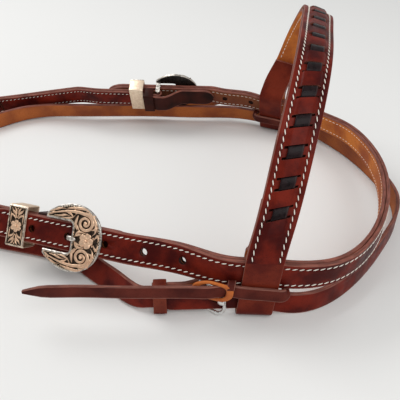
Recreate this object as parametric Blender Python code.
"""Western headstall, laid out on its edges as a saddler would set it on a bench.

The crown strap and the throat latch run round the right-hand side as one ring of
two stacked straps. The browband is a hoop that stands over them and folds round
both at each end. The cheeks buckle to the crown billets and run off to the left.
Metres, +Z up, +X towards the poll, +Y towards the off side, origin at the bottom
centre of the whole headstall.
"""
import math

import bmesh
import bpy
from mathutils import Matrix, Vector

MM = 0.001

# Clearances between pieces that touch
SEAT = 0.3 * MM
RUNNING = 0.35 * MM
OVERRUN = 4.0 * MM

# How the headstall is laid out
LAY_LENGTH = 440.0 * MM
LAY_DEPTH = 284.0 * MM

# Crown strap: two plies sewn together
CROWN_WIDTH = 19.0 * MM
PLY = 2.4 * MM
EDGE_BEVEL = 0.6 * MM
HOLE_DIAMETER = 4.8 * MM
HOLE_PITCH = 26.0 * MM
BILLET_TIP = 50.5 * MM
BILLET_POINT = 15.0 * MM

# Throat latch: one ply
THROAT_WIDTH = 16.0 * MM
THROAT_PLY = 2.6 * MM
THROAT_HOLE_DIAMETER = 4.4 * MM
THROAT_TIP = 25.0 * MM
THROAT_TURNBACK = 32.0 * MM
THROAT_BAR_BACK = 31.68 * MM
THROAT_BAR_SETBACK = 0.2 * MM

# Browband
BROWBAND_WIDTH = 21.6 * MM
LOOP_CLEARANCE = 1.4 * MM
STACK_GAP = 2.6 * MM
TURNBACK_LENGTH = 36.0 * MM
LACE_WIDTH = 8.4 * MM
LACE_PLY = 0.9 * MM
WINDOW_COUNT = 18
WINDOW_START = 30.0 * MM
WINDOW_END = 30.0 * MM
SLIT_OPENING = 2.8 * MM
SLIT_MARGIN = 2.0 * MM
SLIT_SLANT_SHARE = 0.35
VISIBLE_SHARE = 0.27

# Cheek: one strap doubled back at both ends
CHEEK_WIDTH = 19.0 * MM
CHEEK_PLY = 2.0 * MM
BIT_EYE_RADIUS = 4.5 * MM
BIT_TURNBACK = 60.0 * MM
BUTT_GAP = 1.5 * MM
CHAFE_LENGTH = 62.0 * MM
CHAFE_TAIL = 9.0 * MM

# Cheek buckle
BAR_RADIUS = 1.5 * MM
TONGUE_HOLE = 12.5 * MM
BUCKLE_LENGTH = 40.0 * MM
BUCKLE_HEIGHT = 43.0 * MM
BUCKLE_PLATE = 2.2 * MM
BUCKLE_HEEL = 2.6 * MM
BUCKLE_RIM = 1.5 * MM
RECESS_DEPTH = 0.7 * MM
OVERLAY_PLATE = 0.9 * MM
TONGUE_THICKNESS = 1.7 * MM
TONGUE_WIDTH = 3.2 * MM
TONGUE_EYE_TURN = 262.0

# Keepers
KEEPER_LENGTH = 13.2 * MM
KEEPER_HEIGHT = 27.5 * MM
KEEPER_WALL = 0.9 * MM
KEEPER_RIM = 1.3 * MM
KEEPER_OVERLAY = 0.6 * MM
INNER_KEEPER_LENGTH = 9.5 * MM
INNER_KEEPER_WALL = 1.0 * MM
INNER_KEEPER_START = 4.2 * MM
NEAR_KEEPER_START = 17.2 * MM
OFF_KEEPER_START = 14.1 * MM

# Throat latch buckle and keeper
WIRE_RADIUS = 1.2 * MM
THROAT_BUCKLE_LENGTH = 14.0 * MM
THROAT_BUCKLE_ROOM = 0.4 * MM
THROAT_KEEPER_START = 20.5 * MM
THROAT_KEEPER_LENGTH = 8.0 * MM
THROAT_KEEPER_WALL = 1.4 * MM

# Screw posts at the bit ends
POST_RADIUS = 2.4 * MM
POST_HEAD_RADIUS = 5.0 * MM
POST_HEAD = 1.1 * MM
SCREW_HEAD_RADIUS = 4.4 * MM
SCREW_HEAD = 1.0 * MM
SCREW_SHANK_RADIUS = 1.4 * MM
HEAD_SEAT = 0.7 * MM
POST_SETBACK = 17.0 * MM
POST_PITCH = 24.0 * MM

# Tie strings
TIE_WIDTH = 9.4 * MM
TIE_PLY = 1.8 * MM
TIE_EYE_LENGTH = 24.4 * MM
TIE_EYE_HEIGHT = 13.6 * MM
TIE_EYE_RIM = 4.2 * MM
TIE_STEP = 2.6 * MM
TIE_EYE_SIDES = 28
TIE_PINCH = 0.48
TIE_EYE_RISE_SHARE = 0.21
TIE_TIP_SHARES = [0.88, 0.56, 0.2]
TIE_TIP_STEP_SHARE = 0.56
HOOP_STEP = 4.0 * MM

# Finishes: colour, roughness, metallic
GRAIN = ((0.105, 0.012, 0.008), 0.42, 0.0)
LOOP_GRAIN = ((0.17, 0.02, 0.012), 0.42, 0.0)
FLESH = ((0.42, 0.13, 0.02), 0.75, 0.0)
LACE_BLACK = ((0.018, 0.012, 0.014), 0.45, 0.0)
TIE_LEATHER = ((0.09, 0.016, 0.01), 0.55, 0.0)
OLD_SILVER = ((0.35, 0.33, 0.31), 0.35, 1.0)
COPPER = ((0.75, 0.42, 0.27), 0.35, 1.0)
NICKEL = ((0.75, 0.75, 0.74), 0.15, 1.0)

UP = Vector((0.0, 0.0, 1.0))

# Shared derived sizes
CROWN_THICKNESS = PLY + SEAT + PLY
PLY_OFFSET = (PLY + SEAT) / 2
CHEEK_OFFSET = (CHEEK_PLY + SEAT) / 2
FOLD_RADIUS = BAR_RADIUS + SEAT + CHEEK_PLY / 2
CHEEK_FRONT = -(CROWN_THICKNESS / 2 + RUNNING + INNER_KEEPER_WALL + SEAT + CHEEK_PLY / 2)
CHEEK_CENTRE = CHEEK_FRONT - CHEEK_OFFSET
BAR_DEPTH = CHEEK_FRONT - FOLD_RADIUS
CHEEK_BACK = CHEEK_CENTRE - CHEEK_OFFSET
THROAT_FOLD = WIRE_RADIUS + SEAT + THROAT_PLY / 2
THROAT_MAIN = -(THROAT_PLY + RUNNING)
THROAT_BAR = THROAT_MAIN - THROAT_FOLD
LOOP_HALF = CROWN_THICKNESS / 2 + LOOP_CLEARANCE + PLY / 2
LOOP_FLOOR = PLY + SEAT + SEAT + EDGE_BEVEL
THROAT_RISE = LOOP_FLOOR + THROAT_WIDTH / 2
CROWN_RISE = LOOP_FLOOR + THROAT_WIDTH + STACK_GAP + CROWN_WIDTH / 2
STACK_TOP = CROWN_RISE + CROWN_WIDTH / 2
LOOP_TOP = STACK_TOP + PLY

# Places on the bench, as shares of the lay's length and depth; heights as shares of the
# stack of two straps; lean of the strap's top edge towards the inside, in degrees.
NEAR_BAR_SHARES = (-0.0620, -0.3313, 0.714)
NEAR_BAR_LEAN = 32.0
NEAR_BAR_HEADING = -17.8
OFF_BAR_SHARES = (0.0648, 0.4190, 0.810)
OFF_BAR_LEAN = 25.0
OFF_BAR_HEADING = 176.3
NEAR_LOOP_SHARES = (0.2277, -0.4746, 0.0)
NEAR_LOOP_HEADING = -3.0
NEAR_LOOP_LEAN = 1.2
NEAR_LOOP_SLANT_SHARE = 0.098
OFF_LOOP_SHARES = (0.3191, 0.3961, 0.017)
OFF_LOOP_HEADING = 153.5
OFF_LOOP_LEAN = 27.7
OFF_LOOP_SLANT_SHARE = -0.098

# Crown strap between the near straight, the loops and the off straight
CROWN_NEAR_SHARES = [(0.1277, -0.4270, 0.757, 20.0), (0.1932, -0.4700, 0.785, 4.0)]
CROWN_RIGHT_SHARES = [
    (0.2852, -0.4800, 0.775, -3.0), (0.3273, -0.4683, 0.765, -7.0),
    (0.3923, -0.3838, 0.750, -4.0), (0.4350, -0.2606, 0.750, 0.0),
    (0.4602, -0.1056, 0.750, 4.0), (0.4591, 0.0317, 0.750, 8.0),
    (0.4364, 0.1549, 0.740, 14.0), (0.4000, 0.2359, 0.727, 20.0), (0.3464, 0.3175, 0.735, 26.0)]
CROWN_OFF_SHARES = [(0.2659, 0.3803, 0.745, 26.0), (0.1977, 0.4028, 0.785, 25.0)]
THROAT_RIGHT_SHARES = [
    (0.2830, -0.4803, 0.225, 1.0), (0.3136, -0.4676, 0.205, 0.0),
    (0.3709, -0.4056, 0.195, 0.0), (0.4414, -0.2764, 0.195, 0.0),
    (0.4959, -0.1035, 0.195, 0.0), (0.4893, 0.0211, 0.195, 2.0),
    (0.4668, 0.1401, 0.195, 6.0), (0.4277, 0.2577, 0.200, 12.0),
    (0.3795, 0.3331, 0.225, 24.0)]
THROAT_LEFT_SHARES = [
    (0.2545, 0.4261, 0.262, 24.0), (0.1545, 0.4420, 0.258, 20.0), (0.0432, 0.4520, 0.258, 20.0),
    (-0.1295, 0.4556, 0.250, 18.0), (-0.2386, 0.4500, 0.215, 12.0),
    (-0.3000, 0.3891, 0.195, 4.0), (-0.3727, 0.2500, 0.195, 0.0),
    (-0.4000, 0.0493, 0.195, 0.0), (-0.3682, -0.1162, 0.190, 12.0),
    (-0.2773, -0.1900, 0.175, 30.0), (-0.1591, -0.2520, 0.158, 38.0),
    (-0.0273, -0.3290, 0.160, 38.0), (0.0045, -0.3732, 0.166, 34.0)]
THROAT_BAR_RISE_SHARE = 0.268
# The last points before the throat buckle: back from its bar and inwards, as shares of the
# strap's turned-back length, then the height share and the lean
THROAT_APPROACH_SHARES = [(-1.6404, 0.5414, 0.190, 24.0), (-1.2664, 0.1970, 0.225, 14.0)]
THROAT_BAR_LEAN = 4.0
THROAT_BAR_HEADING = 2.5

# Cheeks beyond their straight stretch, towards the bit
NEAR_CHEEK_SHARES = [
    (-0.2341, -0.2430, 0.60, 26.0), (-0.3250, -0.2359, 0.36, 14.0), (-0.4136, -0.2535, 0.255, 5.0)]
NEAR_BIT_SHARES = (-0.4886, -0.2817, 0.2325)
NEAR_BIT_HEADING = 14.0
NEAR_BIT_LEAN = 2.0
OFF_CHEEK_SHARES = [
    (-0.1136, 0.4700, 0.740, 26.0), (-0.1600, 0.4840, 0.655, 26.0), (-0.2386, 0.4960, 0.500, 24.0),
    (-0.3000, 0.4930, 0.400, 18.0), (-0.3700, 0.4720, 0.310, 11.0)]
OFF_BIT_SHARES = (-0.4364, 0.4250, 0.278)
OFF_BIT_HEADING = 194.0
OFF_BIT_LEAN = 7.0

# Hoop of the browband: front face, then the tilt of its width
HOOP_SHARES = [
    (0.2523, -0.4535, 1.65, -0.06, -0.08), (0.2682, -0.4035, 2.31, -0.07, -0.20),
    (0.2852, -0.3366, 2.89, -0.07, -0.26), (0.3018, -0.2496, 3.25, -0.12, -0.33),
    (0.3168, -0.1479, 3.37, -0.18, -0.37), (0.3309, -0.0412, 3.38, -0.20, -0.37),
    (0.3448, 0.0651, 3.35, -0.19, -0.35), (0.3520, 0.1690, 3.13, -0.24, -0.36),
    (0.3511, 0.2394, 2.789, -0.27, -0.35), (0.3450, 0.3000, 2.31, -0.33, -0.28),
    (0.3320, 0.3310, 1.72, -0.42, -0.14)]

# Tie string: away from the loop's middle, up from the gap, outwards, then how upright its
# width stands; shares of the side gap's reach, of the tie's width and of the loop's face.
TIE_WRAP_SHARES = [
    (1.066, 0.52, 1.19, 0.0), (1.066, 0.69, 1.19, 0.0), (1.060, 0.83, 1.133, 0.0),
    (1.047, 0.896, 0.993, 0.0), (1.035, 0.896, 0.811, 0.0), (1.022, 0.827, 0.680, 0.0),
    (1.010, 0.700, 0.630, 0.0), (1.004, 0.500, 0.615, 0.0), (1.003, 0.280, 0.610, 0.0),
    (1.003, 0.090, 0.585, 0.0), (1.0, 0.010, 0.440, 0.0),
    (1.0, 0.0, 0.0, 0.0), (1.0, 0.0, -0.476, 0.0),
    (1.0, -0.05, -0.66, 0.45), (0.985, -0.12, -0.82, 0.85), (0.92, -0.18, -0.96, 1.0),
    (0.79, -0.213, -1.03, 1.0), (0.442, -0.213, -1.02, 1.0), (0.0, -0.213, -1.02, 1.0),
    (-0.442, -0.213, -1.02, 1.0), (-0.79, -0.213, -1.03, 1.0), (-0.92, -0.18, -0.96, 1.0),
    (-0.985, -0.12, -0.82, 0.85), (-1.0, -0.05, -0.66, 0.45), (-1.0, 0.0, -0.476, 0.0),
    (-1.0, 0.0, 0.0, 0.0), (-1.0, 0.0, 0.406, 0.0), (-1.0, 0.01, 0.60, 0.45),
    (-0.985, 0.03, 0.80, 0.85), (-0.92, 0.04, 0.96, 1.0), (-0.79, 0.05, 1.03, 1.0),
    (-0.505, 0.08, 1.02, 1.0), (0.0, 0.13, 1.02, 1.0),
    (0.505, 0.18, 1.02, 1.0), (0.770, 0.205, 0.975, 1.0), (0.978, 0.21, 0.900, 1.0),
    (1.199, 0.21, 0.888, 1.0), (1.451, 0.21, 0.965, 1.0), (1.830, 0.21, 1.147, 1.0),
    (2.145, 0.21, 1.189, 1.0)]
NEAR_TAIL_SHARES = [
    (0.050, -0.503, 0.60, 0.0), (0.0, -0.502, 0.61, 0.0), (-0.042, -0.500, 0.59, 0.0)]
OFF_TAIL_SHARES = [
    (0.170, 0.497, 0.30, 22.0), (0.080, 0.508, 0.16, 10.0), (-0.100, 0.510, 0.125, 4.0),
    (-0.286, 0.500, 0.12, 2.0)]

# Outline of the cheek buckle: shares of its length from the heel and of its height
BUCKLE_OUTER_SHARES = [
    (0.00, 0.300), (0.05, 0.345), (0.14, 0.408), (0.26, 0.462), (0.40, 0.496), (0.54, 0.498),
    (0.68, 0.468), (0.80, 0.405), (0.90, 0.310), (0.965, 0.190), (0.995, 0.065)]
BOW_SHARE = 0.478

# Pointed and rounded strap ends: shares of the end's length and of the strap's width
TIP_SHARES = [(0.0, 1.0), (0.30, 0.93), (0.60, 0.76), (0.82, 0.52), (0.95, 0.28), (1.0, 0.12)]
ROUND_SHARES = [(0.0, 1.0), (0.40, 0.94), (0.70, 0.78), (0.90, 0.52), (1.0, 0.28)]


def clear_scene():
    for item in list(bpy.data.objects):
        bpy.data.objects.remove(item, do_unlink=True)


def finish(name, spec):
    """A Principled material of its own for each sub-part."""
    colour, roughness, metallic = spec
    material = bpy.data.materials.new(name)
    material.use_nodes = True
    shader = material.node_tree.nodes["Principled BSDF"]
    shader.inputs["Base Color"].default_value = (*colour, 1.0)
    shader.inputs["Roughness"].default_value = roughness
    shader.inputs["Metallic"].default_value = metallic
    return material


def place(shares):
    """A point on the bench from its shares."""
    return Vector((shares[0] * LAY_LENGTH, shares[1] * LAY_DEPTH, shares[2] * STACK_TOP))


def heading_vector(degrees):
    angle = math.radians(degrees)
    return Vector((math.cos(angle), math.sin(angle), 0.0))


class Frame:
    """A point on a strap: along it, up its width, and out of its grain side."""

    def __init__(self, origin, along, lean):
        self.origin = Vector(origin)
        self.along = Vector(along).normalized()
        flat = self.along.cross(UP).normalized()
        rise = flat.cross(self.along).normalized() * -1
        if rise.z < 0:
            rise = -rise
        angle = math.radians(lean)
        self.up = rise * math.cos(angle) - flat * math.sin(angle)
        self.out = flat * math.cos(angle) + rise * math.sin(angle)

    def at(self, along, up=0.0, out=0.0):
        return self.origin + self.along * along + self.up * up + self.out * out

    def matrix(self, along=0.0, up=0.0, out=0.0):
        """Local x runs along the strap, y up its width and z out of its face."""
        grid = Matrix((self.along, self.up, self.out)).transposed().to_4x4()
        grid.translation = self.at(along, up, out)
        return grid


def spline(points, start, end, step):
    """A smooth curve through points of any number of values, with set end slopes.

    The first three values are a place. Returns samples about one step apart.
    """
    count = len(points)
    size = len(points[0])
    spans = []
    for first, second in zip(points, points[1:]):
        spans.append(math.dist(first[:3], second[:3]))
    slopes = [list(start)] + [[0.0] * size for _ in range(count - 2)] + [list(end)]
    for axis in range(size):
        lower, middle, upper, right = [], [], [], []
        for i in range(1, count - 1):
            lower.append(spans[i])
            middle.append(2 * (spans[i - 1] + spans[i]))
            upper.append(spans[i - 1])
            rise = (points[i][axis] - points[i - 1][axis]) / spans[i - 1] * spans[i]
            rise += (points[i + 1][axis] - points[i][axis]) / spans[i] * spans[i - 1]
            right.append(3 * rise)
        if right:
            right[0] -= lower[0] * slopes[0][axis]
            right[-1] -= upper[-1] * slopes[-1][axis]
        for i in range(1, len(right)):
            factor = lower[i] / middle[i - 1]
            middle[i] -= factor * upper[i - 1]
            right[i] -= factor * right[i - 1]
        for i in range(len(right) - 1, -1, -1):
            after = slopes[i + 2][axis] * upper[i] if i < len(right) - 1 else 0.0
            slopes[i + 1][axis] = (right[i] - after) / middle[i]
    samples = []
    for i, span in enumerate(spans):
        parts = max(2, round(span / step))
        for k in range(parts):
            t = k / parts
            a = 2 * t ** 3 - 3 * t ** 2 + 1
            b = t ** 3 - 2 * t ** 2 + t
            c = 3 * t ** 2 - 2 * t ** 3
            d = t ** 3 - t ** 2
            samples.append([
                a * points[i][n] + b * span * slopes[i][n]
                + c * points[i + 1][n] + d * span * slopes[i + 1][n] for n in range(size)])
    samples.append(list(points[-1]))
    return samples


def strap_route(near, points, far, step):
    """Frames along a strap that leaves one frame and ends in another, by way of points."""
    table = [[*near.origin, near.lean]] + points + [[*far.origin, far.lean]]
    start = [*near.along, 0.0]
    end = [*far.along, 0.0]
    samples = spline(table, start, end, step)
    frames = []
    last = len(samples) - 1
    for i, sample in enumerate(samples):
        before = Vector(samples[max(i - 1, 0)][:3])
        after = Vector(samples[min(i + 1, last)][:3])
        along = near.along if i == 0 else far.along if i == last else after - before
        frames.append(Frame(sample[:3], along, sample[3]))
    return frames


class Anchor(Frame):
    """A frame that keeps its lean, for the ends of a route."""

    def __init__(self, origin, heading, lean):
        super().__init__(origin, heading_vector(heading), lean)
        self.lean = lean

    def moved(self, along):
        twin = Anchor.__new__(Anchor)
        twin.__dict__.update(self.__dict__)
        twin.origin = self.at(along)
        return twin


def loop_point(anchor, slant, rise):
    """The middle of the straps in a browband loop, at a height up the loop."""
    return anchor.origin + (anchor.up + anchor.along * slant) * rise


def table_points(rows):
    return [[*place(row), row[3]] for row in rows]


def mesh_object(name, verts, faces, spec, smooth=True):
    """A closed mesh whose faces point outwards."""
    mesh = bpy.data.meshes.new(name)
    work = bmesh.new()
    points = [work.verts.new(vert) for vert in verts]
    for face in faces:
        work.faces.new([points[i] for i in face])
    bmesh.ops.recalc_face_normals(work, faces=work.faces)
    if work.calc_volume(signed=True) < 0:
        bmesh.ops.reverse_faces(work, faces=work.faces)
    work.to_mesh(mesh)
    work.free()
    if smooth:
        mesh.shade_smooth()
        mesh.set_sharp_from_angle(angle=math.radians(35))
    item = bpy.data.objects.new(name, mesh)
    bpy.context.scene.collection.objects.link(item)
    item.data.materials.append(finish(name, spec))
    return item


def ribbon(name, places, ups, width, thickness, spec, taper=None, sides=None, back=None):
    """A strap solid: a bevelled flat section carried along places.

    ups are the directions of the width, sides those of the thickness; taper gives each
    place's share of the width; back marks the stretches that run back over the strap.
    """
    count = len(places)
    half = thickness / 2
    chamfer = min(EDGE_BEVEL, thickness * 0.3)
    verts = []
    for i in range(count):
        ahead = places[min(i + 1, count - 1)] - places[max(i - 1, 0)]
        up = ups[i]
        side = sides[i] if sides else up.cross(ahead).normalized()
        share = taper[i] if taper else 1.0
        reach = width / 2 * share
        cut = min(chamfer, reach * 0.4)
        section = [
            (reach - cut, half), (reach, half - cut), (reach, cut - half), (reach - cut, -half),
            (cut - reach, -half), (-reach, cut - half), (-reach, half - cut), (cut - reach, half)]
        verts.extend(places[i] + up * u + side * s for u, s in section)
    size = len(section)
    faces = []
    for i in range(count - 1):
        a = i * size
        b = a + size
        for k in range(size):
            n = (k + 1) % size
            # Every face of a twisted stretch is split along the same diagonal, so plies never cross
            if (k in (0, 1, 2, 7)) != bool(back and back[i]):
                faces += [(a + k, a + n, b + k), (a + n, b + n, b + k)]
            else:
                faces += [(a + k, a + n, b + n), (a + k, b + n, b + k)]
    faces.append(tuple(range(size)))
    faces.append(tuple(range((count - 1) * size, count * size))[::-1])
    return mesh_object(name, verts, faces, spec)


def cutter(item):
    item.hide_render = True
    item.display_type = "WIRE"
    return item


def cylinder(name, matrix, radius, low, high, sides=20, spec=NICKEL):
    """A round bar along the local z axis of a matrix."""
    verts = []
    for level in (low, high):
        for k in range(sides):
            angle = math.tau * k / sides
            verts.append(matrix @ Vector((radius * math.cos(angle), radius * math.sin(angle), level)))
    faces = [(k, (k + 1) % sides, sides + (k + 1) % sides, sides + k) for k in range(sides)]
    faces.append(tuple(range(sides))[::-1])
    faces.append(tuple(range(sides, sides + sides)))
    return mesh_object(name, verts, faces, spec)


def block(name, matrix, low, high, spec=NICKEL):
    """A box between two corners in a matrix's own axes."""
    corners = [(x, y, z) for z in (low[2], high[2]) for y in (low[1], high[1]) for x in (low[0], high[0])]
    faces = [(0, 2, 3, 1), (4, 5, 7, 6), (0, 1, 5, 4), (2, 6, 7, 3), (0, 4, 6, 2), (1, 3, 7, 5)]
    return mesh_object(name, [matrix @ Vector(corner) for corner in corners], faces, spec, smooth=False)


def boolean(item, tools, operation):
    """Applies each tool to an item and removes the tools."""
    for tool in tools:
        modifier = item.modifiers.new(operation.lower(), "BOOLEAN")
        modifier.operation = operation
        modifier.solver = "EXACT"
        modifier.object = tool
    graph = bpy.context.evaluated_depsgraph_get()
    baked = bpy.data.meshes.new_from_object(item.evaluated_get(graph))
    material = item.data.materials[0]
    item.modifiers.clear()
    item.data = baked
    item.data.materials.clear()
    item.data.materials.append(material)
    for tool in tools:
        bpy.data.objects.remove(tool, do_unlink=True)
    return item


# The two cheek buckles, the loops and the throat buckle fix every route.
near_bar = Anchor(place(NEAR_BAR_SHARES), NEAR_BAR_HEADING, NEAR_BAR_LEAN)
off_bar = Anchor(place(OFF_BAR_SHARES), OFF_BAR_HEADING, OFF_BAR_LEAN)
near_loop = Anchor(place(NEAR_LOOP_SHARES), NEAR_LOOP_HEADING, NEAR_LOOP_LEAN)
off_loop = Anchor(place(OFF_LOOP_SHARES), OFF_LOOP_HEADING, OFF_LOOP_LEAN)
throat_bar = Anchor(
    near_loop.origin - Vector((THROAT_BAR_BACK, -THROAT_BAR_SETBACK, -STACK_TOP * THROAT_BAR_RISE_SHARE)),
    THROAT_BAR_HEADING, THROAT_BAR_LEAN)
near_bit = Anchor(place(NEAR_BIT_SHARES), NEAR_BIT_HEADING, NEAR_BIT_LEAN)
off_bit = Anchor(place(OFF_BIT_SHARES), OFF_BIT_HEADING, OFF_BIT_LEAN)


class Route:
    """Places along a strap with the directions of its width and of its grain side."""

    def __init__(self, places, ups, outs=None):
        self.places = places
        self.ups = ups
        self.runs = [0.0]
        for first, second in zip(places, places[1:]):
            self.runs.append(self.runs[-1] + (second - first).length)
        self.length = self.runs[-1]
        self.outs = outs or [self.side(i) for i in range(len(places))]

    def side(self, i):
        ahead = self.places[min(i + 1, len(self.places) - 1)] - self.places[max(i - 1, 0)]
        return self.ups[i].cross(ahead).normalized()

    def at(self, run):
        """Place, width and grain directions at a distance along the strap."""
        i = 0
        while i < len(self.runs) - 2 and self.runs[i + 1] < run:
            i += 1
        share = (run - self.runs[i]) / (self.runs[i + 1] - self.runs[i])
        mix = [pair[i].lerp(pair[i + 1], share) if 0 <= share <= 1
               else pair[i] + (pair[i + 1] - pair[i]) * share for pair in (self.places, self.ups, self.outs)]
        return mix[0], mix[1].normalized(), mix[2].normalized()

    def point(self, run, up=0.0, out=0.0):
        spot, width, grain = self.at(run)
        return spot + width * up + grain * out

    def frame(self, run):
        spot, width, grain = self.at(run)
        grid = Matrix((width.cross(grain).normalized(), width, grain)).transposed().to_4x4()
        grid.translation = spot
        return grid


def route_of(frames):
    return Route([f.origin for f in frames], [f.up for f in frames], [f.out for f in frames])


def loop_row(anchor, slant, rise):
    return [[*loop_point(anchor, slant, rise), anchor.lean]]


# Crown strap and its lining: one route, two plies, holes punched through both

STRAIGHT = BUCKLE_LENGTH + CROWN_WIDTH / 2
STEP = 12.0 * MM
HOLES_INWARD = 3
HOLES_OUTWARD = 2
TIP_RUNS = [BILLET_TIP - BILLET_POINT * (1 - share[0]) for share in TIP_SHARES]


def crown_route():
    """From the near billet's tip, over the poll, to the off billet's tip."""
    runs = [-HOLE_PITCH, 0.0] + TIP_RUNS
    near = [near_bar.moved(-run) for run in reversed(runs)]
    points = table_points(CROWN_NEAR_SHARES)
    points += loop_row(near_loop, NEAR_LOOP_SLANT_SHARE, CROWN_RISE)
    points += table_points(CROWN_RIGHT_SHARES)
    points += loop_row(off_loop, OFF_LOOP_SLANT_SHARE, CROWN_RISE)
    points += table_points(CROWN_OFF_SHARES)
    middle = strap_route(near_bar.moved(STRAIGHT), points, off_bar.moved(-STRAIGHT), STEP)
    off = [off_bar.moved(run) for run in runs]
    return route_of(near + middle + off)


def tip_taper(route, length, shares, start=True, end=True):
    """Each place's share of the strap's width, narrowing over the length of its tips."""
    result = []
    for run in route.runs:
        share = 1.0
        for wanted, left in ((start, run), (end, route.length - run)):
            into = 1 - left / length
            if not wanted or into <= 0:
                continue
            for (low, first), (high, second) in zip(shares, shares[1:]):
                if into <= high + 1e-6:
                    share = min(share, first + (second - first) * (into - low) / (high - low))
                    break
        result.append(share)
    return result


def ply(name, route, out, width, thickness, spec, taper=None):
    places = [spot + grain * out for spot, grain in zip(route.places, route.outs)]
    return ribbon(name, places, route.ups, width, thickness, spec, taper, route.outs)


def punches(route, runs, radius, depth, sides=12):
    """Round cutters through a strap at distances along it."""
    return [cutter(cylinder("punch", route.frame(run), radius, -depth, depth, sides)) for run in runs]


def build_crown(route):
    near_bar_run = BILLET_TIP
    off_bar_run = route.length - BILLET_TIP
    runs = []
    for k in range(-HOLES_OUTWARD, HOLES_INWARD + 1):
        runs.append(near_bar_run + TONGUE_HOLE + k * HOLE_PITCH)
        runs.append(off_bar_run - TONGUE_HOLE - k * HOLE_PITCH)
    taper = tip_taper(route, BILLET_POINT, TIP_SHARES)
    depth = CROWN_THICKNESS
    for name, out, spec in (("crown_strap", PLY_OFFSET, GRAIN), ("crown_lining", -PLY_OFFSET, FLESH)):
        item = ply(name, route, out, CROWN_WIDTH, PLY, spec, taper)
        boolean(item, punches(route, runs, HOLE_DIAMETER / 2, depth), "DIFFERENCE")


# Throat latch: one long strap from its billet tip round to the fold at its own buckle

THROAT_STRAIGHT = THROAT_BUCKLE_LENGTH + WIRE_RADIUS
THROAT_TONGUE_HOLE = 9.0 * MM
THROAT_POINT = 9.0 * MM
FOLD_STEPS = 8
WIRE_SIDES = 8
TONGUE_LIFT_SHARES = [(0.45, 0.0), (0.86, 0.10)]


def fold(frame, sign, centre, radius, first, last, steps):
    """Places round a bar that lies across a frame; angles in degrees from its outer side."""
    places = []
    for k in range(steps + 1):
        angle = math.radians(first + (last - first) * k / steps)
        places.append(frame.at(sign * radius * math.sin(angle), 0.0, centre + radius * math.cos(angle)))
    return places


def build_throat_latch():
    tips = [THROAT_TIP - THROAT_POINT * (1 - share[0]) for share in ROUND_SHARES]
    billet = [throat_bar.moved(-run) for run in reversed([0.0] + tips)]
    points = loop_row(near_loop, NEAR_LOOP_SLANT_SHARE, THROAT_RISE)
    points += table_points(THROAT_RIGHT_SHARES)
    points += loop_row(off_loop, OFF_LOOP_SLANT_SHARE, THROAT_RISE)
    points += table_points(THROAT_LEFT_SHARES)
    for back, inward, rise, lean in THROAT_APPROACH_SHARES:
        spot = throat_bar.origin + Vector((back * THROAT_TURNBACK, inward * THROAT_TURNBACK, 0.0))
        points.append([spot.x, spot.y, rise * STACK_TOP, lean])
    main_end = throat_bar.moved(-THROAT_TURNBACK)
    low = Anchor(main_end.at(0.0, 0.0, THROAT_MAIN), THROAT_BAR_HEADING, THROAT_BAR_LEAN)
    middle = strap_route(throat_bar.moved(THROAT_STRAIGHT), points, low, STEP)
    frames = billet + middle
    places = [f.origin for f in frames]
    ups = [f.up for f in frames]
    turn = fold(throat_bar, 1, THROAT_BAR, THROAT_FOLD, 0.0, 180.0, FOLD_STEPS)
    flap = THROAT_MAIN - THROAT_PLY - SEAT
    back = [(THROAT_FOLD * 2, (THROAT_BAR - THROAT_FOLD + flap) / 2), (THROAT_FOLD * 4, flap)]
    back.append((THROAT_TURNBACK - THROAT_FOLD, flap))
    places += turn + [throat_bar.at(-run, 0.0, out) for run, out in back]
    ups += [throat_bar.up] * (len(turn) + len(back))
    route = Route(places, ups)
    taper = tip_taper(route, THROAT_POINT, ROUND_SHARES, end=False)
    item = ribbon("throat_latch_strap", places, ups, THROAT_WIDTH, THROAT_PLY, GRAIN, taper)
    hole_runs = [-THROAT_TONGUE_HOLE, -THROAT_TONGUE_HOLE - HOLE_PITCH]
    tools = []
    for run in hole_runs:
        grid = throat_bar.matrix(-run)
        tools.append(cutter(cylinder("punch", grid, THROAT_HOLE_DIAMETER / 2, -THROAT_PLY, THROAT_PLY, 12)))
    tools[1].location += loop_shift()
    slot = TONGUE_WIDTH / 2 + RUNNING
    tools.append(cutter(block(
        "slot", throat_bar.matrix(), (-THROAT_FOLD * 2, -slot, THROAT_BAR - THROAT_FOLD * 2),
        (THROAT_FOLD * 2, slot, THROAT_MAIN + THROAT_PLY / 2 + SEAT / 2))))
    return boolean(item, tools, "DIFFERENCE")


def loop_shift():
    """From the throat bar's own line to the middle of the strap inside the near loop."""
    middle = loop_point(near_loop, NEAR_LOOP_SLANT_SHARE, THROAT_RISE)
    away = middle - throat_bar.origin
    return throat_bar.out * away.dot(throat_bar.out) + throat_bar.up * away.dot(throat_bar.up)


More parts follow.
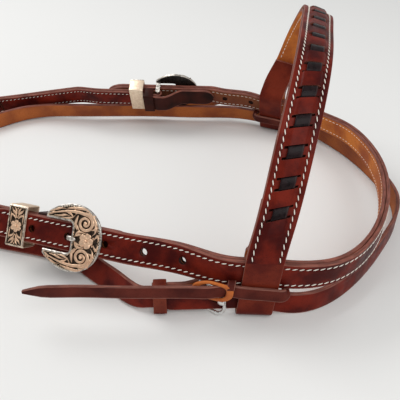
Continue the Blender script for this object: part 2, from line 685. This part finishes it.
def build_throat_hardware():
    """A nickel wire buckle on the fold, its tongue, and the leather keeper."""
    reach = THROAT_WIDTH / 2 + THROAT_BUCKLE_ROOM + WIRE_RADIUS
    corner = reach * 0.42
    bow = THROAT_PLY / 2 + RUNNING + WIRE_RADIUS
    places = []
    for along_sign, up_sign in ((1, 1), (1, -1), (-1, -1), (-1, 1)):
        radius = corner if along_sign == 1 else corner * 0.5
        centre_along = THROAT_BUCKLE_LENGTH - radius if along_sign == 1 else radius
        centre_up = (reach - radius) * up_sign
        start = {(1, 1): 90, (1, -1): 0, (-1, -1): -90, (-1, 1): -180}[(along_sign, up_sign)]
        for k in range(5):
            angle = math.radians(start - 90 * k / 4)
            along = centre_along + radius * math.cos(angle)
            up = centre_up + radius * math.sin(angle)
            out = THROAT_BAR + (bow - THROAT_BAR) * min(1.0, along / (THROAT_BUCKLE_LENGTH - corner))
            places.append(throat_bar.at(along, up, out))
    count = len(places)
    verts, faces = [], []
    angles = [math.tau * k / WIRE_SIDES for k in range(WIRE_SIDES)]
    centre = sum(places, Vector()) / count
    for i, spot in enumerate(places):
        ahead = (places[(i + 1) % count] - places[i - 1]).normalized()
        inward = (centre - spot).normalized()
        flat = inward.cross(ahead).normalized()
        inward = ahead.cross(flat).normalized()
        for angle in angles:
            verts.append(spot + (inward * math.cos(angle) + flat * math.sin(angle)) * WIRE_RADIUS)
    sides = len(angles)
    for i in range(count):
        a, b = i * sides, (i + 1) % count * sides
        faces.extend((a + k, a + (k + 1) % sides, b + (k + 1) % sides, b + k) for k in range(sides))
    mesh_object("throat_latch_buckle_frame", verts, faces, NICKEL)
    build_tongue(
        "throat_latch_buckle_tongue", throat_bar, -1, THROAT_BAR, WIRE_RADIUS, THROAT_TONGUE_HOLE,
        THROAT_BUCKLE_LENGTH, bow + WIRE_RADIUS, THROAT_PLY, NICKEL)
    flap = THROAT_MAIN - THROAT_PLY - SEAT
    low = (-THROAT_KEEPER_START - THROAT_KEEPER_LENGTH, -THROAT_WIDTH / 2 - SEAT, flap - THROAT_PLY / 2 - SEAT)
    high = (-THROAT_KEEPER_START, THROAT_WIDTH / 2 + SEAT, THROAT_PLY / 2 + SEAT)
    build_sleeve("throat_latch_keeper", throat_bar.matrix(), low, high, THROAT_KEEPER_WALL, LOOP_GRAIN)


def build_sleeve(name, grid, low, high, wall, spec, extra=0.0):
    """A keeper: a flat tube open along x, its corners rounded, round the box from low to high."""
    radius = wall * 1.5
    rings = []
    for grow, curve, face in ((wall, radius, extra), (0.0, radius - wall, 0.0)):
        ring = []
        for up_sign, out_sign, start in ((1, 1, 0), (-1, 1, 90), (-1, -1, 180), (1, -1, 270)):
            edge_up = (high[1] if up_sign > 0 else low[1]) + up_sign * grow
            edge_out = (high[2] + face if out_sign > 0 else low[2]) + out_sign * grow
            for k in range(4):
                angle = math.radians(start + 30 * k)
                ring.append((edge_up - up_sign * curve + curve * math.cos(angle),
                             edge_out - out_sign * curve + curve * math.sin(angle)))
        rings.append(ring)
    size = len(rings[0])
    verts = [grid @ Vector((x, up, out)) for ring in rings for x in (low[0], high[0]) for up, out in ring]
    faces = []
    for k in range(size):
        n = (k + 1) % size
        faces.append((k, n, size + n, size + k))
        faces.append((2 * size + k, 3 * size + k, 3 * size + n, 2 * size + n))
        faces.append((k, 2 * size + k, 2 * size + n, n))
        faces.append((size + k, size + n, 3 * size + n, 3 * size + k))
    return mesh_object(name, verts, faces, spec)


def build_tongue(name, bar, sign, depth, bar_radius, hole, reach, rest, thickness, spec):
    """A buckle tongue: an eye round the bar, then up through the billet and on to the bow.

    sign is the way along the frame from the bow to the bar's far side.
    """
    eye = bar_radius + SEAT + TONGUE_THICKNESS / 2
    places = fold(bar, sign, depth, eye, TONGUE_EYE_TURN, 0.0, 9)
    top = rest + SEAT + TONGUE_THICKNESS / 2
    base = depth + eye
    lead = thickness / 2 + TONGUE_THICKNESS / 2
    for share, rise in TONGUE_LIFT_SHARES:
        places.append(bar.at(-sign * hole * share, 0.0, base + (-lead - base) * rise))
    slope = TONGUE_THICKNESS * 0.4
    places.append(bar.at(-sign * (hole - slope), 0.0, -lead))
    places.append(bar.at(-sign * (hole + slope), 0.0, lead))
    places.append(bar.at(-sign * (hole + slope + TONGUE_THICKNESS * 0.7), 0.0, lead + (top - lead) * 0.7))
    places.append(bar.at(-sign * (hole + slope + TONGUE_THICKNESS * 1.9), 0.0, top))
    places.append(bar.at(-sign * reach, 0.0, top))
    ups = [bar.up] * len(places)
    return ribbon(name, places, ups, TONGUE_WIDTH, TONGUE_THICKNESS, spec)


class Hardware:
    """Axes of a cheek buckle: away from the bow along the cheek, up the strap, and outwards."""

    def __init__(self, bar, sign):
        self.bar = bar
        self.sign = sign

    def at(self, away, up=0.0, out=0.0):
        return self.bar.at(self.sign * away, up, out)

    def span(self, start, stop):
        """Low and high ends along the strap's own direction."""
        return sorted((self.sign * start, self.sign * stop))


near_hardware = Hardware(near_bar, -1)
off_hardware = Hardware(off_bar, 1)


def prism(name, at, outline, low, high, spec, smooth=True):
    """An outline of (a, b) pairs pushed from low to high along the third axis of at."""
    count = len(outline)
    verts = [at(a, b, level) for level in (low, high) for a, b in outline]
    faces = [(k, (k + 1) % count, count + (k + 1) % count, count + k) for k in range(count)]
    faces.append(tuple(range(count))[::-1])
    faces.append(tuple(range(count, 2 * count)))
    return mesh_object(name, verts, faces, spec, smooth)


# Cheeks: each doubled strap, its chafe, buckle, keepers and screw posts

CHEEK_STRAIGHT = 55.0 * MM
CHEEK_STEP = 8.0 * MM
CHAFE_PLY = 2.0 * MM
CONVERGE = 14.0 * MM
EYE_LEAD = 12.0 * MM
TIP_BACK = 24.0 * MM


def cheek_route(hardware):
    """From the buckle bar to the bit, always with its grain side outwards."""
    if hardware.sign < 0:
        points = table_points(NEAR_CHEEK_SHARES)[::-1]
        frames = strap_route(near_bit, points, near_bar.moved(-CHEEK_STRAIGHT), STEP)[::-1]
    else:
        frames = strap_route(off_bar.moved(CHEEK_STRAIGHT), table_points(OFF_CHEEK_SHARES), off_bit, STEP)
    frames.insert(0, hardware.bar)
    return route_of(frames)


def ease(share):
    share = min(max(share, 0.0), 1.0)
    return share * share * (3 - 2 * share)


def leaf_back(run):
    """Depth of the turned-back leaf near the buckle bar."""
    start = BAR_DEPTH - FOLD_RADIUS
    return start + (CHEEK_BACK - start) * ease(run / CONVERGE)


def stations(start, stop, step):
    parts = max(2, round((stop - start) / step))
    return [start + (stop - start) * k / parts for k in range(parts + 1)]


def cheek_profile(length):
    """Runs and depths along the doubled strap, from the butt end round both folds."""
    butt = length - BIT_TURNBACK - BUTT_GAP
    body = stations(CONVERGE, butt, CHEEK_STEP)
    tail = stations(length - BIT_TURNBACK, length - EYE_LEAD, CHEEK_STEP)
    profile = [(run, CHEEK_BACK) for run in body[::-1]]
    for k in range(1, 5):
        run = CONVERGE * (1 - k / 4)
        profile.append((run, leaf_back(run)))
    for k in range(1, FOLD_STEPS + 1):
        angle = math.pi * k / FOLD_STEPS
        profile.append((-FOLD_RADIUS * math.sin(angle), BAR_DEPTH - FOLD_RADIUS * math.cos(angle)))
    profile += [(run, CHEEK_FRONT) for run in body + tail[:-1]]
    eye = BIT_EYE_RADIUS + CHEEK_PLY / 2
    near_side, far_side = [], []
    for k in range(4):
        share = k / 4
        gap = CHEEK_OFFSET + (eye - CHEEK_OFFSET) * ease(share)
        near_side.append((length - EYE_LEAD * (1 - share), CHEEK_CENTRE + gap))
        far_side.append((length - EYE_LEAD * (1 - share), CHEEK_CENTRE - gap))
    profile += near_side
    for k in range(FOLD_STEPS + 3):
        angle = math.pi * k / (FOLD_STEPS + 2)
        profile.append((length + eye * math.sin(angle), CHEEK_CENTRE + eye * math.cos(angle)))
    profile += far_side[::-1]
    profile += [(run, CHEEK_BACK) for run in tail[-2::-1]]
    return profile


def build_cheek(side, hardware):
    route = cheek_route(hardware)
    length = route.length
    profile = cheek_profile(length)
    places, ups = [], []
    for run, out in profile:
        places.append(route.point(run, 0.0, out))
        ups.append(route.at(run)[1])
    back = [second[0] < first[0] for first, second in zip(profile, profile[1:])]
    item = ribbon(side + "_cheek_strap", places, ups, CHEEK_WIDTH, CHEEK_PLY, GRAIN, back=back)
    half = TONGUE_WIDTH / 2 + RUNNING
    reach = BAR_RADIUS + SEAT + TONGUE_THICKNESS + RUNNING
    corners = [(-reach - CHEEK_PLY, -half), (reach, -half), (reach, half), (-reach - CHEEK_PLY, half)]
    slot = prism("slot", hardware.at, corners, BAR_DEPTH - reach - CHEEK_PLY, CHEEK_FRONT + CHEEK_PLY, NICKEL)
    tools = [cutter(slot)]
    post_runs = [length - POST_SETBACK, length - POST_SETBACK - POST_PITCH]
    deep = CHEEK_CENTRE - CHEEK_OFFSET - CHEEK_PLY
    shallow = CHEEK_CENTRE + CHEEK_OFFSET + CHEEK_PLY
    for run in post_runs:
        tools.append(cutter(cylinder("bore", route.frame(run), POST_RADIUS + SEAT, deep, shallow, 16)))
    boolean(item, tools, "DIFFERENCE")
    for number, run in enumerate(post_runs, 1):
        build_screw_post(f"{side}_bit_post_{number}", f"{side}_bit_screw_{number}", route.frame(run))
    build_chafe(side, hardware)
    build_cheek_keepers(side, hardware)
    build_buckle(side, hardware)


def turned(name, grid, rings, spec, sides=20):
    """A round solid from (radius, level) pairs; the first and last radii are capped."""
    verts, faces = [], []
    for radius, level in rings:
        for k in range(sides):
            angle = math.tau * k / sides
            verts.append(grid @ Vector((radius * math.cos(angle), radius * math.sin(angle), level)))
    for i in range(len(rings) - 1):
        a, b = i * sides, (i + 1) * sides
        faces.extend((a + k, a + (k + 1) % sides, b + (k + 1) % sides, b + k) for k in range(sides))
    faces.append(tuple(range(sides))[::-1])
    faces.append(tuple(range(len(verts) - sides, len(verts))))
    return mesh_object(name, verts, faces, spec)


def build_screw_post(post_name, screw_name, grid):
    """A Chicago screw: the post's head lies on the grain side, the screw closes it behind."""
    front = CHEEK_CENTRE + CHEEK_OFFSET + CHEEK_PLY / 2 + HEAD_SEAT
    back = CHEEK_CENTRE - CHEEK_OFFSET - CHEEK_PLY / 2 - HEAD_SEAT
    bore = SCREW_SHANK_RADIUS + SEAT
    turned(post_name, grid, [
        (POST_HEAD_RADIUS * 0.72, front + POST_HEAD), (POST_HEAD_RADIUS, front + POST_HEAD * 0.45),
        (POST_HEAD_RADIUS, front), (POST_RADIUS, front), (POST_RADIUS, back + SEAT), (bore, back + SEAT),
        (bore, front - SEAT)], NICKEL)
    turned(screw_name, grid, [
        (SCREW_HEAD_RADIUS * 0.8, back - SCREW_HEAD), (SCREW_HEAD_RADIUS, back - SCREW_HEAD * 0.5),
        (SCREW_HEAD_RADIUS, back), (SCREW_SHANK_RADIUS, back), (SCREW_SHANK_RADIUS, front - SEAT - SEAT)], NICKEL)


def build_chafe(side, hardware):
    """The safe behind the buckle, caught under the cheek's fold and lying along the billet."""
    lying = -(CROWN_THICKNESS / 2 + RUNNING + CHAFE_PLY / 2)
    deepest = BAR_DEPTH - FOLD_RADIUS - CHEEK_PLY / 2 - RUNNING - CHAFE_PLY / 2
    step = CHEEK_PLY / 2 + RUNNING + CHAFE_PLY / 2
    places = [hardware.at(run, 0.0, leaf_back(run) - step) for run in (CHAFE_TAIL, CHAFE_TAIL * 0.5, 0.0)]
    flat = FOLD_RADIUS + CHEEK_PLY
    for k in range(9):
        share = k / 8
        run = -flat - (TIP_BACK - flat) * share
        places.append(hardware.at(run, 0.0, deepest + (lying - deepest) * ease(share)))
    rows = len(places)
    end = CHAFE_LENGTH - CHAFE_TAIL
    for share, _ in ROUND_SHARES:
        run = end - CHEEK_WIDTH / 2 * (1 - share)
        places.append(hardware.at(-run, 0.0, lying))
    taper = [1.0] * rows + [width for _, width in ROUND_SHARES]
    ups = [hardware.bar.up] * len(places)
    ribbon(side + "_buckle_chafe", places, ups, CHEEK_WIDTH, CHAFE_PLY, GRAIN, taper)


def build_cheek_keepers(side, hardware):
    grid = hardware.bar.matrix()
    start, stop = hardware.span(INNER_KEEPER_START, INNER_KEEPER_START + INNER_KEEPER_LENGTH)
    half = CHEEK_WIDTH / 2 + SEAT
    floor = leaf_back(INNER_KEEPER_START) - CHEEK_PLY / 2 - RUNNING - CHAFE_PLY - SEAT - SEAT
    build_sleeve(
        side + "_inner_keeper", grid, (start, -half, floor), (stop, half, CHEEK_FRONT + CHEEK_PLY / 2 + SEAT),
        INNER_KEEPER_WALL, LOOP_GRAIN)
    first = NEAR_KEEPER_START if hardware.sign < 0 else OFF_KEEPER_START
    start, stop = hardware.span(first, first + KEEPER_LENGTH)
    half = KEEPER_HEIGHT / 2 - KEEPER_WALL
    bottom = CHEEK_BACK - CHEEK_PLY / 2 - SEAT
    top = CROWN_THICKNESS / 2 + SEAT + SEAT
    item = build_sleeve(
        side + "_metal_keeper", grid, (start, -half, bottom), (stop, half, top), KEEPER_WALL, OLD_SILVER,
        KEEPER_OVERLAY)
    face = top + KEEPER_WALL + KEEPER_OVERLAY
    inset = KEEPER_HEIGHT / 2 - KEEPER_RIM
    recess = block(
        "recess", grid, (start + KEEPER_RIM, -inset, face - KEEPER_OVERLAY),
        (stop - KEEPER_RIM, inset, face + OVERRUN))
    boolean(item, [cutter(recess)], "DIFFERENCE")
    edge = KEEPER_RIM + SEAT
    inset = inset - SEAT
    low = face - KEEPER_OVERLAY + SEAT
    block(
        side + "_keeper_overlay", grid, (start + edge, -inset, low),
        (stop - edge, inset, low + KEEPER_OVERLAY), COPPER)


def inset_outline(outline, distance):
    """A closed outline moved inwards by a distance, corner by corner."""
    count = len(outline)
    area = sum(a[0] * b[1] - b[0] * a[1] for a, b in zip(outline, outline[1:] + outline[:1]))
    turn = 1 if area > 0 else -1
    result = []
    for i, spot in enumerate(outline):
        before = Vector(outline[i - 1])
        after = Vector(outline[(i + 1) % count])
        here = Vector(spot)
        first = (here - before).normalized()
        second = (after - here).normalized()
        normal = Vector((-first.y - second.y, first.x + second.x)) * turn
        normal.normalize()
        lean = max(0.35, normal.dot(Vector((-first.y, first.x)) * turn))
        result.append(tuple(here + normal * (distance / lean)))
    return result


def build_buckle(side, hardware):
    """Cart buckle: an engraved plate round the billet, on lugs that carry the bar behind it."""
    window = CROWN_WIDTH / 2 + RUNNING + RUNNING
    bow = BUCKLE_HEEL - BOW_SHARE * BUCKLE_LENGTH
    upper = [(BUCKLE_HEEL - a * BUCKLE_LENGTH, b * BUCKLE_HEIGHT) for a, b in BUCKLE_OUTER_SHARES]
    lower = [(a, -b) for a, b in reversed(upper)]
    corner = BUCKLE_RIM * 2
    outline = upper + lower + [(BUCKLE_HEEL, -window), (bow + corner, -window)]
    outline += [(bow + corner * 0.3, -window + corner * 0.3), (bow, -window + corner)]
    outline += [(bow, window - corner), (bow + corner * 0.3, window - corner * 0.3)]
    outline += [(bow + corner, window), (BUCKLE_HEEL, window)]
    back = CROWN_THICKNESS / 2 + RUNNING
    front = back + BUCKLE_PLATE
    floor = front - RECESS_DEPTH
    inner = inset_outline(outline, BUCKLE_RIM)
    count = len(outline)
    verts = [hardware.at(a, b, back) for a, b in outline] + [hardware.at(a, b, front) for a, b in outline]
    verts += [hardware.at(a, b, front) for a, b in inner] + [hardware.at(a, b, floor) for a, b in inner]
    faces = [tuple(range(count))[::-1], tuple(range(3 * count, 4 * count))]
    for level in range(3):
        base = level * count
        for k in range(count):
            n = (k + 1) % count
            faces.append((base + k, base + n, base + count + n, base + count + k))
    name = side + "_buckle_frame"
    item = mesh_object(name, verts, faces, OLD_SILVER)
    tools = []
    arm = BUCKLE_OUTER_SHARES[0][1] * BUCKLE_HEIGHT - SEAT
    lug = [(-BAR_RADIUS - SEAT, (back + floor) / 2), (-BAR_RADIUS - SEAT, BAR_DEPTH)]
    ring = BAR_RADIUS + SEAT + SEAT
    for k in range(5):
        angle = math.radians(200 + 35 * k)
        lug.append((ring * math.cos(angle), BAR_DEPTH + ring * math.sin(angle)))
    lug.append((BAR_RADIUS + SEAT + SEAT, (back + floor) / 2))
    for sign in (1, -1):
        ends = sorted((sign * (window + SEAT / 2), sign * (arm - SEAT / 2)))
        tools.append(cutter(prism("lug", lambda a, n, w: hardware.at(a, w, n), lug, *ends, OLD_SILVER)))
    bar = [(BAR_RADIUS * math.cos(math.tau * k / 16), BAR_DEPTH + BAR_RADIUS * math.sin(math.tau * k / 16))
           for k in range(16)]
    middle = (window + arm) / 2
    tools.append(cutter(prism("bar", lambda a, n, w: hardware.at(a, w, n), bar, -middle, middle, OLD_SILVER)))
    boolean(item, tools, "UNION")
    gapped = inset_outline(outline, BUCKLE_RIM + SEAT)
    lift = floor + SEAT
    prism(side + "_buckle_overlay", hardware.at, gapped, lift, lift + OVERLAY_PLATE, COPPER)
    rest = lift + OVERLAY_PLATE
    build_tongue(
        side + "_buckle_tongue", hardware.bar, hardware.sign, BAR_DEPTH, BAR_RADIUS, TONGUE_HOLE,
        BUCKLE_HEEL * 0.4 - bow + BUCKLE_RIM * 2, rest, CROWN_THICKNESS, OLD_SILVER)


# Browband: a hoop of two plies that folds round both straps at each end

BRIDGE_RAISE = 1.5 * MM
FLATTEN = 4.0 * MM
LEG_BLEND = 8.0 * MM
LEG_START = 1.5 * MM
BAND_SURFACE = LOOP_HALF + PLY / 2
TURNBACK_DEPTH = -(PLY * 2.5 + SEAT * 2 + RUNNING)
LINING_DEPTH = -(PLY * 1.5 + SEAT)
LACE_UNDER = -(PLY + SEAT) + SEAT + LACE_PLY / 2
LACE_OVER = SEAT + RUNNING + LACE_PLY / 2


def hoop_route():
    """The front face of the hoop from the near loop's top to the off loop's top."""
    ends = []
    for anchor, slant, sign in ((near_loop, NEAR_LOOP_SLANT_SHARE, 1), (off_loop, OFF_LOOP_SLANT_SHARE, -1)):
        spot = loop_point(anchor, slant, LOOP_TOP) + anchor.out * BAND_SURFACE
        slope = (anchor.up + anchor.along * slant).normalized() * sign
        ends.append(([*spot, anchor.along.y / anchor.along.x, 0.0], [*slope, 0.0, 0.0]))
    table = [ends[0][0]] + [[*place(row), row[3], row[4]] for row in HOOP_SHARES] + [ends[1][0]]
    samples = spline(table, ends[0][1], ends[1][1], HOOP_STEP)
    places = [Vector(sample[:3]) for sample in samples]
    ups = [Vector((1.0, sample[3], sample[4])).normalized() for sample in samples]
    return Route(places, ups)


def leg_profile():
    """Heights and depths of one loop, from its turned-back leg round the bottom to its face."""
    floor = LOOP_HALF + PLY / 2
    profile = [((LOOP_TOP + floor) / 2, -LOOP_HALF), (floor, -LOOP_HALF)]
    for k in range(1, FOLD_STEPS):
        angle = math.pi * k / FOLD_STEPS
        profile.append((floor - LOOP_HALF * math.sin(angle), -LOOP_HALF * math.cos(angle)))
    profile += [(floor, LOOP_HALF), ((LOOP_TOP + floor) / 2, LOOP_HALF)]
    return profile


def loop_rows(hoop, runs, anchor, slant, sign):
    """Turned-back end, inner leg, fold and outer leg of one loop, up to the hoop."""
    places, ups = [], []
    deep = -(BAND_SURFACE + LOOP_HALF)
    path = [(run, TURNBACK_DEPTH) for run in runs]
    for k in range(5):
        run = LEG_START + LEG_BLEND * (1 - k / 4)
        path.append((run if sign > 0 else hoop.length - run, TURNBACK_DEPTH + (deep - TURNBACK_DEPTH) * ease(k / 4)))
    for run, depth in path:
        spot, width, grain = hoop.at(run)
        places.append(spot + grain * depth)
        ups.append(width)
    for rise, depth in leg_profile():
        places.append(loop_point(anchor, slant, rise) + anchor.out * depth)
        ups.append(anchor.along * sign)
    if sign < 0:
        places.reverse()
        ups.reverse()
    route = Route(places, ups)
    return list(zip(places, ups, route.outs))


def window_runs(hoop):
    """For each lace window: end of the bridge, both edges of the tab, start of the next bridge."""
    pitch = (hoop.length - WINDOW_START - WINDOW_END) / (WINDOW_COUNT - 1)
    half = VISIBLE_SHARE * pitch / 2
    rows = []
    for k in range(WINDOW_COUNT):
        centre = WINDOW_START + k * pitch
        rows.append((centre - half - SLIT_OPENING, centre - half, centre + half, centre + half + SLIT_OPENING))
    return rows, pitch - 2 * half - 2 * SLIT_OPENING


def grid_solid(name, rows, columns, gone, spec):
    """A strap solid from rows of (front, back) points; gone names the cells cut right through."""
    verts = [point for row in rows for pair in row for point in pair]
    wide = len(columns)
    faces = []
    cells = {(i, j) for i in range(len(rows) - 1) for j in range(wide - 1)} - gone
    for i, j in sorted(cells):
        a = (i * wide + j) * 2
        b = ((i + 1) * wide + j) * 2
        faces += [(a, a + 2, b + 2), (a, b + 2, b), (a + 1, b + 3, a + 3), (a + 1, b + 1, b + 3)]
        edges = [((i - 1, j), a, a + 2), ((i + 1, j), b, b + 2), ((i, j - 1), a, b), ((i, j + 1), a + 2, b + 2)]
        faces.extend((p, q, q + 1, p + 1) for other, p, q in edges if other not in cells)
    used = sorted({i for face in faces for i in face})
    index = {old: new for new, old in enumerate(used)}
    return mesh_object(name, [verts[i] for i in used], [tuple(index[i] for i in face) for face in faces], spec)


def held(frame):
    return lambda column: frame


def band_row(at, columns, raised):
    """Front and back points across the browband; at gives the frame for each column."""
    row = []
    outer = abs(columns[0])
    for column in columns:
        half = PLY / 2 - (EDGE_BEVEL if abs(column) == outer else 0.0)
        lift = BRIDGE_RAISE if raised and abs(column) <= LACE_WIDTH / 2 + SEAT else 0.0
        base, across, out = at(column)
        middle = base + across * column
        row.append((middle + out * (lift + half), middle + out * (lift - half)))
    return row


def build_browband():
    hoop = hoop_route()
    half = BROWBAND_WIDTH / 2
    slit = LACE_WIDTH / 2 + SLIT_MARGIN
    lace = LACE_WIDTH / 2 + SEAT
    side = [half, half - EDGE_BEVEL, slit, lace]
    columns = [-c for c in side] + side[::-1]
    windows, bridge = window_runs(hoop)
    stops = [(0.0, False), (FLATTEN, False), (windows[0][0] - bridge - FLATTEN, False),
             (windows[0][0] - bridge, True)]
    for a, b, c, d in windows:
        stops += [(a, True), (b, False), (c, False), (d, True)]
    stops += [(windows[-1][3] + bridge, True), (windows[-1][3] + bridge + FLATTEN, False),
              (hoop.length - FLATTEN, False), (hoop.length, False)]
    cut_runs = {a for a, b, c, d in windows} | {c for a, b, c, d in windows}

    def slanted(run, depth):
        def at(column):
            shift = SLIT_SLANT_SHARE * column if abs(column) <= slit else 0.0
            spot, width, grain = hoop.at(run + shift if slotted(run) else run)
            return spot + grain * depth, width, grain
        return at

    def slotted(run):
        return windows[0][0] - bridge <= run <= windows[-1][3] + bridge

    turned = [run for run, _ in stops if LEG_START + LEG_BLEND + SEAT < run <= TURNBACK_LENGTH]
    near = loop_rows(hoop, turned[::-1], near_loop, NEAR_LOOP_SLANT_SHARE, 1)
    turned = [run for run, _ in stops if LEG_START + LEG_BLEND + SEAT < hoop.length - run <= TURNBACK_LENGTH]
    off = loop_rows(hoop, turned, off_loop, OFF_LOOP_SLANT_SHARE, -1)
    rows = [band_row(held(frame), columns, False) for frame in near]
    gone = set()
    for run, raised in stops:
        if run in cut_runs:
            gone |= {(len(rows), j) for j in range(2, 5)}
        rows.append(band_row(slanted(run, -PLY / 2), columns, raised))
    rows += [band_row(held(frame), columns, False) for frame in off]
    grid_solid("browband_front", rows, columns, gone, GRAIN)
    rows = [band_row(slanted(run, LINING_DEPTH), columns, False) for run, _ in stops]
    grid_solid("browband_lining", rows, columns, set(), FLESH)
    build_lace(hoop, windows, bridge)
    build_tie("near", near_loop, -1, NEAR_LOOP_SLANT_SHARE, NEAR_TAIL_SHARES)
    build_tie("off", off_loop, 1, OFF_LOOP_SLANT_SHARE, OFF_TAIL_SHARES)


def build_lace(hoop, windows, bridge):
    """One flat lace that dips under every bridge and shows through every window."""
    tuck = bridge * 0.6
    runs = [(windows[0][0] - tuck, LACE_UNDER)]
    for a, b, c, d in windows:
        runs += [(a, LACE_UNDER), (b - SEAT, LACE_OVER), (c + SEAT, LACE_OVER), (d, LACE_UNDER)]
    runs.append((windows[-1][3] + tuck, LACE_UNDER))
    places, ups = [], []
    for run, depth in runs:
        spot, width, grain = hoop.at(run)
        places.append(spot + grain * depth)
        ups.append(width + grain.cross(width) * SLIT_SLANT_SHARE)
    ribbon("browband_lace", places, ups, LACE_WIDTH, LACE_PLY, LACE_BLACK)


def tie_eye(name, at, centre_away, centre_up, spec):
    """The slit end of a tie, spread into a ring that the tail comes through."""
    angles = [math.tau * (k + 0.5) / TIE_EYE_SIDES for k in range(TIE_EYE_SIDES)]
    length, height = TIE_EYE_LENGTH / 2, TIE_EYE_HEIGHT / 2
    hole_length = length - TIE_EYE_RIM
    hole_height = TIE_WIDTH / 2 + RUNNING
    verts = []
    for angle in angles:
        c, n = math.cos(angle), math.sin(angle)
        square = (abs(c) ** 3 + abs(n) ** 3) ** (-1 / 3)
        pairs = [(length * c * square, height * n * square), (hole_length * c * square, hole_height * n * square)]
        for away, up in pairs:
            depth = at.ring_depth(away + length)
            for out in (depth + TIE_PLY / 2, depth - TIE_PLY / 2):
                verts.append(at(centre_away + away, centre_up + up, out))
    faces = []
    for k in range(len(angles)):
        a, b = k * 4, (k + 1) % len(angles) * 4
        for p, q in ((0, 1), (1, 3), (3, 2), (2, 0)):
            faces.append((a + p, a + q, b + q, b + p))
    return mesh_object(name, verts, faces, spec)


class TieAxes:
    """Axes of a tie at its loop: towards the bit, up the loop, and outwards."""

    def __init__(self, loop, sign, slant):
        self.loop = loop
        self.sign = sign
        self.slant = slant
        self.face = BAND_SURFACE + SEAT + TIE_PLY / 2
        self.top = self.face * TIE_WRAP_SHARES[0][2]

    def __call__(self, away, up, out):
        return self.loop.at(self.sign * away + self.slant * up, up, out)

    def ring_depth(self, run):
        """The eye lies over the band at its right rim and under the tail at its left one."""
        drop = TIE_PLY + SEAT + SEAT + SEAT
        return self.top - drop * ease((run - TIE_EYE_RIM) / (TIE_EYE_LENGTH / 2))


def build_tie(side, loop, sign, slant, tail):
    at = TieAxes(loop, sign, slant)
    reach = BROWBAND_WIDTH / 2 + RUNNING + TIE_WIDTH / 2
    middle = LOOP_FLOOR + THROAT_WIDTH + STACK_GAP / 2
    table = []
    for away, up, out, turn in TIE_WRAP_SHARES:
        table.append([away * reach, middle + up * TIE_WIDTH, out * at.face, turn])
    samples = spline(table, [0.0, 1.0, 0.0, 0.0], [1.0, 0.0, 0.0, 0.0], TIE_STEP)
    places, ups, taper = [], [], []
    stem = TIE_WIDTH * 1.5
    run = 0.0
    for i, sample in enumerate(samples):
        places.append(at(*sample[:3]))
        turn = min(max(sample[3], 0.0), 1.0) * math.pi / 2
        across = -1.0 if sample[0] > 0 else 1.0
        flat = loop.along * (sign * across)
        ups.append(flat * math.cos(turn) + loop.up * math.sin(turn))
        run += math.dist(sample[:3], samples[i - 1][:3]) if i else 0.0
        taper.append(TIE_PINCH + (1 - TIE_PINCH) * ease(turn / math.pi * 2) if run > stem else TIE_PINCH)
    start = places[-1]
    heading = loop.along * sign
    rows = [[*start, -loop.lean * (1 if sign < 0 else -1)]] + table_points(tail)
    ends = (Vector(rows[-1][:3]) - Vector(rows[-2][:3])).normalized()
    for sample in spline(rows, [*heading, 0.0], [*ends, 0.0], STEP)[1:]:
        places.append(Vector(sample[:3]))
        ahead = (places[-1] - places[-2]).normalized()
        ups.append(Frame(sample[:3], ahead, sample[3]).up)
        taper.append(1.0)
    for share in TIE_TIP_SHARES:
        places.append(places[-1] + ends * (TIE_WIDTH * TIE_TIP_STEP_SHARE))
        ups.append(ups[-1])
        taper.append(share)
    name = side + "_tie_string"
    item = ribbon(name, places, ups, TIE_WIDTH, TIE_PLY, TIE_LEATHER, taper)
    left = TIE_WRAP_SHARES[0][0] * reach - TIE_EYE_RIM / 2
    eye = tie_eye("eye", at, left + TIE_EYE_LENGTH / 2, middle + TIE_WIDTH * TIE_EYE_RISE_SHARE, TIE_LEATHER)
    boolean(item, [cutter(eye)], "UNION")


def set_origins():
    """Moves each object's origin to the joint it turns or slides on, or to its own middle."""
    joints = {}
    for side, hardware in (("near", near_hardware), ("off", off_hardware)):
        for piece in ("_buckle_frame", "_buckle_overlay", "_buckle_tongue"):
            joints[side + piece] = hardware.at(0.0, 0.0, BAR_DEPTH)
        first = NEAR_KEEPER_START if side == "near" else OFF_KEEPER_START
        for piece in ("_metal_keeper", "_keeper_overlay"):
            joints[side + piece] = hardware.at(first + KEEPER_LENGTH / 2)
    for piece in ("throat_latch_buckle_frame", "throat_latch_buckle_tongue"):
        joints[piece] = throat_bar.at(0.0, 0.0, THROAT_BAR)
    joints["throat_latch_keeper"] = throat_bar.at(-THROAT_KEEPER_START - THROAT_KEEPER_LENGTH / 2)
    items = list(bpy.context.scene.objects)
    corners = [vert.co for item in items for vert in item.data.vertices]
    low = [min(c[axis] for c in corners) for axis in range(3)]
    high = [max(c[axis] for c in corners) for axis in range(3)]
    shift = Vector((-(low[0] + high[0]) / 2, -(low[1] + high[1]) / 2, -low[2]))
    for item in items:
        home = joints.get(item.name, Vector((0.0, 0.0, 0.0)))
        item.data.transform(Matrix.Translation(-home))
        item.location = home + shift


def main():
    clear_scene()
    crown = crown_route()
    build_crown(crown)
    build_throat_latch()
    build_throat_hardware()
    build_cheek("near", near_hardware)
    build_cheek("off", off_hardware)
    build_browband()
    set_origins()


main()
